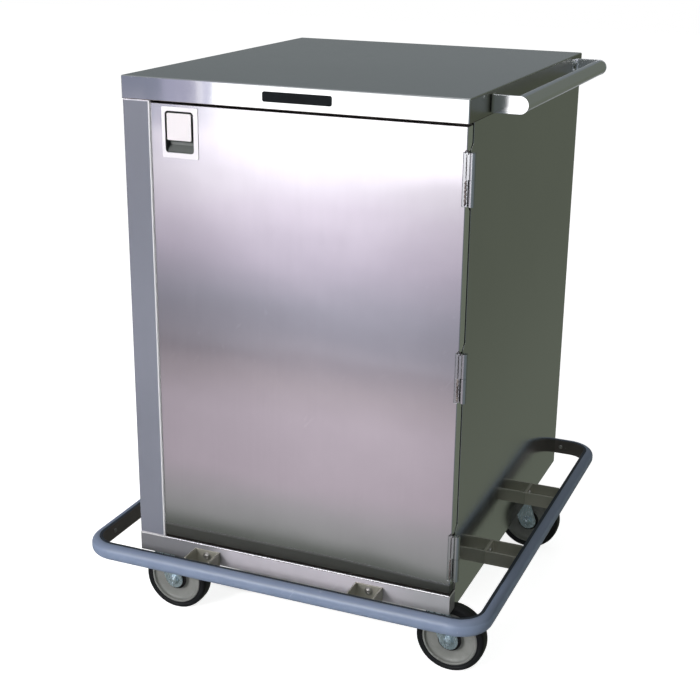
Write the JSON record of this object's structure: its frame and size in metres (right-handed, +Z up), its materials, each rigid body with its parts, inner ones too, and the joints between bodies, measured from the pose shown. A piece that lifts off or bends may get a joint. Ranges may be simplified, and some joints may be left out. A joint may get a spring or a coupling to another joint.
{
  "type": "case cart",
  "caption": "Closed stainless steel cart for surgical supplies, with a hinged door and paddle latch, a push handle, a bumper all round and swivel casters.",
  "frame": {"origin": "on the floor, under the centre of the bumper ring", "axes": "+Z up, the door faces -Y, the push handle and the door hinges are on +X"},
  "size_m": [0.782, 0.864, 1.0035],
  "materials": {
    "stainless_sheet": "satin stainless sheet",
    "bright_steel": "bright stainless fasteners",
    "zinc_plate": "bluish zinc plate",
    "track_aluminium": "mill aluminium, dulled",
    "bumper_vinyl": "blue-grey vinyl, soft sheen",
    "black_gloss": "black, glossy",
    "seal_rubber": "black rubber",
    "wheel_core": "moulded grey nylon",
    "tread_rubber": "black rubber tread"
  },
  "bodies": {
    "cabinet": {"top_panel": "stainless_sheet", "side_panel_left": "stainless_sheet", "side_panel_right": "stainless_sheet", "back_panel": "stainless_sheet", "floor_pan": "stainless_sheet", "sill_rail": "stainless_sheet", "left_stile": "stainless_sheet", "door_top_rail": "stainless_sheet", "latch_strike": "stainless_sheet", "shelf_standards": "stainless_sheet", "shelf_upper": "stainless_sheet", "shelf_lower": "stainless_sheet", "shelf_clips": "stainless_sheet", "hinge_cabinet_leaves": "stainless_sheet", "handle_end_front": "stainless_sheet", "handle_end_back": "stainless_sheet", "handle_bar": "stainless_sheet", "bumper_brackets_front": "stainless_sheet", "bumper_brackets_back": "stainless_sheet", "bumper_brackets_right": "stainless_sheet", "bumper_brackets_left": "stainless_sheet", "hinge_pins": "bright_steel", "handle_screws": "bright_steel", "bumper_track_screws": "bright_steel", "bracket_bolts": "bright_steel", "caster_bolsters": "bright_steel", "caster_plates": "bright_steel", "caster_plate_bolts": "bright_steel", "badge_plate": "black_gloss", "bumper_track": "track_aluminium", "bumper_strip": "bumper_vinyl"},
    "door": {"door_outer_pan": "stainless_sheet", "door_inner_pan": "stainless_sheet", "door_seal": "seal_rubber", "hinge_door_leaves": "stainless_sheet", "latch_cup": "stainless_sheet", "latch_pivot_pin": "bright_steel", "latch_spring": "bright_steel"},
    "paddle": {"latch_paddle": "stainless_sheet"},
    "bolt": {"latch_bolt": "stainless_sheet"},
    "fork_front_left": {"fork_front_left": "zinc_plate", "axle_front_left": "zinc_plate"},
    "wheel_front_left": {"wheel_front_left": "wheel_core", "tyre_front_left": "tread_rubber", "hub_caps_front_left": "black_gloss"},
    "fork_front_right": {"fork_front_right": "zinc_plate", "axle_front_right": "zinc_plate"},
    "wheel_front_right": {"wheel_front_right": "wheel_core", "tyre_front_right": "tread_rubber", "hub_caps_front_right": "black_gloss"},
    "fork_back_left": {"fork_back_left": "zinc_plate", "axle_back_left": "zinc_plate"},
    "wheel_back_left": {"wheel_back_left": "wheel_core", "tyre_back_left": "tread_rubber", "hub_caps_back_left": "black_gloss"},
    "fork_back_right": {"fork_back_right": "zinc_plate", "axle_back_right": "zinc_plate"},
    "wheel_back_right": {"wheel_back_right": "wheel_core", "tyre_back_right": "tread_rubber", "hub_caps_back_right": "black_gloss"}
  },
  "joints": [
    {"name": "door_swing", "type": "hinge", "parent": "cabinet", "child": "door", "pos_m": [0.3197, -0.3661, 0.192], "axis": [0, 0, 1], "range_deg": [0, 265]},
    {"name": "paddle_lift", "type": "hinge", "parent": "door", "child": "paddle", "pos_m": [-0.1882, -0.364, 0.941], "axis": [-1, 0, 0], "range_deg": [0, 35]},
    {"name": "bolt_slide", "type": "slide", "parent": "door", "child": "bolt", "axis": [1, 0, 0], "range_m": [0, 0.0105], "stiffness_N_per_m": 350},
    {"name": "fork_front_left_swivel", "type": "hinge", "parent": "cabinet", "child": "fork_front_left", "pos_m": [-0.2645, -0.329, 0.14], "axis": [0, 0, 1], "continuous": true},
    {"name": "wheel_front_left_spin", "type": "hinge", "parent": "fork_front_left", "child": "wheel_front_left", "pos_m": [-0.2395, -0.329, 0.0625], "axis": [0, 1, 0], "continuous": true},
    {"name": "fork_front_right_swivel", "type": "hinge", "parent": "cabinet", "child": "fork_front_right", "pos_m": [0.2815, -0.329, 0.14], "axis": [0, 0, 1], "continuous": true},
    {"name": "wheel_front_right_spin", "type": "hinge", "parent": "fork_front_right", "child": "wheel_front_right", "pos_m": [0.3065, -0.329, 0.0625], "axis": [0, 1, 0], "continuous": true},
    {"name": "fork_back_left_swivel", "type": "hinge", "parent": "cabinet", "child": "fork_back_left", "pos_m": [-0.2645, 0.186, 0.14], "axis": [0, 0, 1], "continuous": true},
    {"name": "wheel_back_left_spin", "type": "hinge", "parent": "fork_back_left", "child": "wheel_back_left", "pos_m": [-0.2395, 0.186, 0.0625], "axis": [0, 1, 0], "continuous": true},
    {"name": "fork_back_right_swivel", "type": "hinge", "parent": "cabinet", "child": "fork_back_right", "pos_m": [0.2815, 0.186, 0.14], "axis": [0, 0, 1], "continuous": true},
    {"name": "wheel_back_right_spin", "type": "hinge", "parent": "fork_back_right", "child": "wheel_back_right", "pos_m": [0.3065, 0.186, 0.0625], "axis": [0, 1, 0], "continuous": true}
  ],
  "couplings": [
    {"joint": "paddle_lift", "follows": "bolt_slide", "rad_per_m": 58.17}
  ]
}
